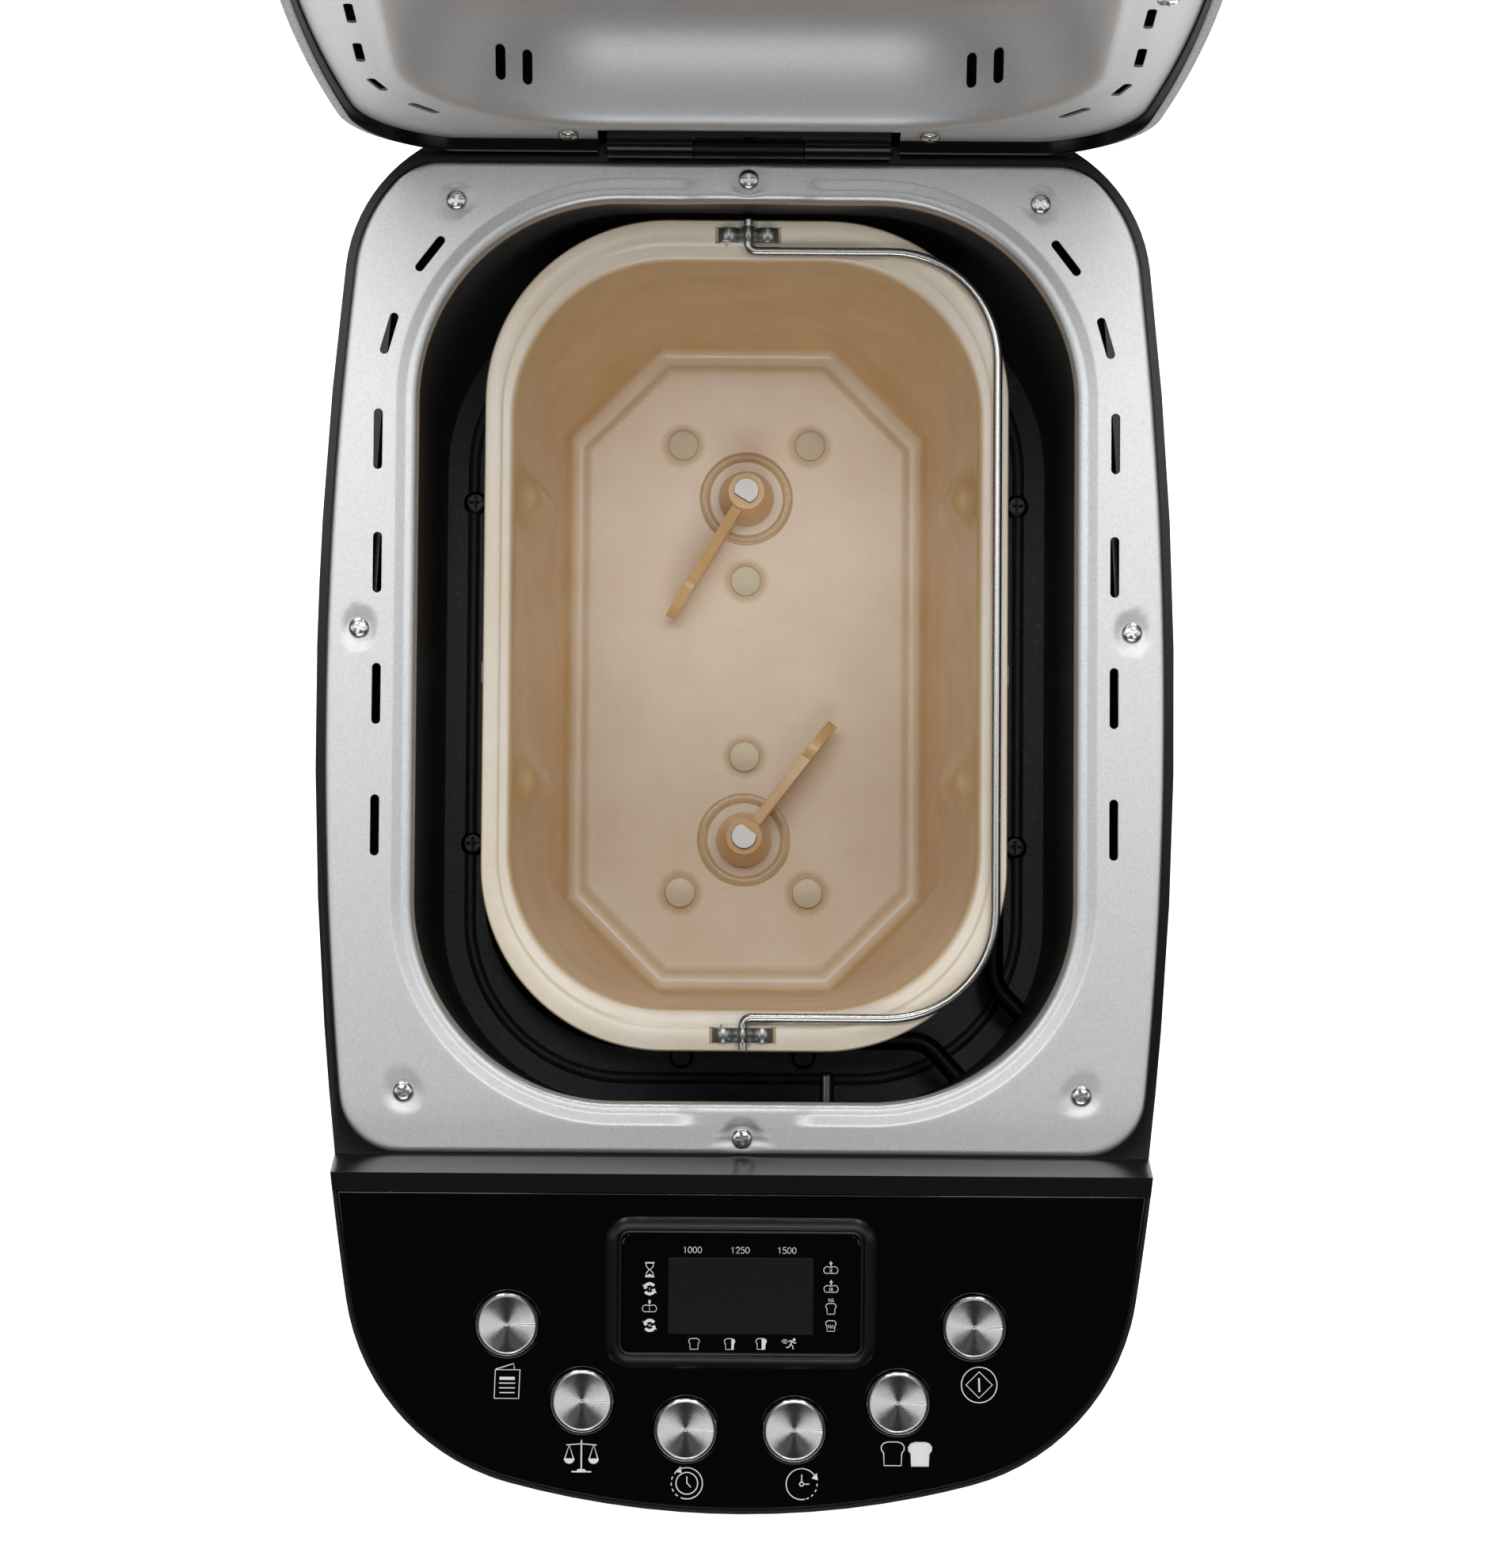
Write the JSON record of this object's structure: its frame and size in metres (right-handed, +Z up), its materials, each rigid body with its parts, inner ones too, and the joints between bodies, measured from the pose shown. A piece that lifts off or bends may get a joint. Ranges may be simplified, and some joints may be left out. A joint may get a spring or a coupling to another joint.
{
  "type": "bread machine",
  "caption": "Counter-top bread maker with hinged domed lid, baking chamber, lift-out pan with twin kneading paddles and a bail, and a sloping panel of round buttons.",
  "frame": {"origin": "on the surface the machine stands on, at the middle of the footprint of the machine with its lid open", "axes": "+X to the machine's right, -Y to the front (control panel), +Z up"},
  "size_m": [0.2662, 0.4945, 0.5563],
  "materials": {
    "black_plastic": "moulded satin",
    "gloss_black": "polished",
    "silver_paint": "satin silver paint",
    "silver_deck": "sparkle satin lacquer",
    "dark_enamel": "dark non-stick enamel",
    "ceramic_coating": "sparkled ceramic non-stick",
    "steel": "brushed",
    "chrome_steel": "polished",
    "spun_aluminium": "spun",
    "rubber": "matte",
    "bronze": "sintered",
    "glass": "clear",
    "display_glass": "polished",
    "circuit_board": "solder resist",
    "black_screw": "black zinc",
    "heater_sheath": "oxidised"
  },
  "bodies": {
    "machine": {"base_plate": "black_plastic", "rubber_feet": "rubber", "base_screws": "black_screw", "outer_shell": "silver_paint", "cord_gland": "black_plastic", "top_frame": "black_plastic", "deck_plate": "silver_deck", "deck_screws": "steel", "baking_chamber": "dark_enamel", "pan_seats": "steel", "chamber_screws": "black_screw", "heating_element": "heater_sheath", "heater_clamps": "steel", "temperature_sensor": "steel", "drive_bracket": "steel", "shaft_bearings": "bronze", "drive_belt": "rubber", "motor_belt": "rubber", "motor_bracket": "steel", "motor_housing": "steel", "power_board": "circuit_board", "control_panel": "gloss_black", "display_bezel": "black_plastic", "display_lens": "display_glass", "display_module": "black_plastic", "button_board": "circuit_board", "hinge_bracket": "black_plastic", "hinge_pin": "steel"},
    "front_drive": {"front_drive_shaft": "steel", "front_coupler": "steel", "front_pulley": "black_plastic"},
    "rear_drive": {"rear_drive_shaft": "steel", "rear_coupler": "steel", "rear_pulley": "black_plastic"},
    "motor_rotor": {"motor_shaft": "steel", "motor_pulley": "steel"},
    "pan": {"bread_pan": "ceramic_coating", "pan_base_cups": "steel", "pan_rivets": "ceramic_coating", "shaft_bushes": "ceramic_coating", "bail_brackets": "chrome_steel"},
    "bail": {"bail_handle": "chrome_steel"},
    "front_spindle": {"front_pan_shaft": "chrome_steel"},
    "rear_spindle": {"rear_pan_shaft": "chrome_steel"},
    "front_kneader": {"front_paddle": "ceramic_coating"},
    "rear_kneader": {"rear_paddle": "ceramic_coating"},
    "lid": {"lid_cover": "silver_paint", "lid_frame": "black_plastic", "lid_liner": "silver_deck", "lid_hinge": "black_plastic", "lid_screws": "steel", "window_glass": "glass", "inner_glass": "glass", "window_gasket": "rubber"},
    "menu_key": {"menu_button": "spun_aluminium"},
    "weight_key": {"weight_button": "spun_aluminium"},
    "time_down_key": {"time_down_button": "spun_aluminium"},
    "time_up_key": {"time_up_button": "spun_aluminium"},
    "crust_key": {"crust_button": "spun_aluminium"},
    "start_key": {"start_button": "spun_aluminium"}
  },
  "joints": [
    {"name": "lid_hinge_joint", "type": "hinge", "parent": "machine", "child": "lid", "pos_m": [0, 0.175, 0.245], "axis": [-1, 0, 0], "range_deg": [-95, 0]},
    {"name": "pan_lift", "type": "slide", "parent": "machine", "child": "pan", "axis": [0, 0, 1], "range_m": [0, 0.2]},
    {"name": "bail_swing", "type": "hinge", "parent": "pan", "child": "bail", "pos_m": [0, 0.025, 0.2199], "axis": [0, -1, 0], "range_deg": [0, 180]},
    {"name": "front_drive_spin", "type": "hinge", "parent": "machine", "child": "front_drive", "pos_m": [0, -0.0332, 0.04], "axis": [0, 0, 1], "continuous": true},
    {"name": "rear_drive_spin", "type": "hinge", "parent": "machine", "child": "rear_drive", "pos_m": [0, 0.0832, 0.04], "axis": [0, 0, 1], "continuous": true},
    {"name": "motor_spin", "type": "hinge", "parent": "machine", "child": "motor_rotor", "pos_m": [0, -0.194, 0.06], "axis": [0, 0, 1], "continuous": true},
    {"name": "front_spindle_spin", "type": "hinge", "parent": "pan", "child": "front_spindle", "pos_m": [0, -0.0332, 0.09], "axis": [0, 0, 1], "continuous": true},
    {"name": "rear_spindle_spin", "type": "hinge", "parent": "pan", "child": "rear_spindle", "pos_m": [0, 0.0832, 0.09], "axis": [0, 0, 1], "continuous": true},
    {"name": "front_paddle_lift", "type": "slide", "parent": "front_spindle", "child": "front_kneader", "axis": [0, 0, 1], "range_m": [0, 0.04]},
    {"name": "rear_paddle_lift", "type": "slide", "parent": "rear_spindle", "child": "rear_kneader", "axis": [0, 0, 1], "range_m": [0, 0.04]},
    {"name": "menu_press", "type": "slide", "parent": "machine", "child": "menu_key", "axis": [0, 0.0872, -0.9962], "range_m": [0, 0.0012], "stiffness_N_per_m": 800, "springref_m": -0.0008},
    {"name": "weight_press", "type": "slide", "parent": "machine", "child": "weight_key", "axis": [0, 0.0872, -0.9962], "range_m": [0, 0.0012], "stiffness_N_per_m": 800, "springref_m": -0.0008},
    {"name": "time_down_press", "type": "slide", "parent": "machine", "child": "time_down_key", "axis": [0, 0.0872, -0.9962], "range_m": [0, 0.0012], "stiffness_N_per_m": 800, "springref_m": -0.0008},
    {"name": "time_up_press", "type": "slide", "parent": "machine", "child": "time_up_key", "axis": [0, 0.0872, -0.9962], "range_m": [0, 0.0012], "stiffness_N_per_m": 800, "springref_m": -0.0008},
    {"name": "crust_press", "type": "slide", "parent": "machine", "child": "crust_key", "axis": [0, 0.0872, -0.9962], "range_m": [0, 0.0012], "stiffness_N_per_m": 800, "springref_m": -0.0008},
    {"name": "start_press", "type": "slide", "parent": "machine", "child": "start_key", "axis": [0, 0.0872, -0.9962], "range_m": [0, 0.0012], "stiffness_N_per_m": 800, "springref_m": -0.0008}
  ],
  "couplings": [
    {"joint": "motor_spin", "follows": "front_drive_spin", "ratio": 4.4},
    {"joint": "rear_drive_spin", "follows": "front_drive_spin", "ratio": 1},
    {"joint": "front_spindle_spin", "follows": "front_drive_spin", "ratio": 1},
    {"joint": "rear_spindle_spin", "follows": "front_drive_spin", "ratio": 1}
  ]
}
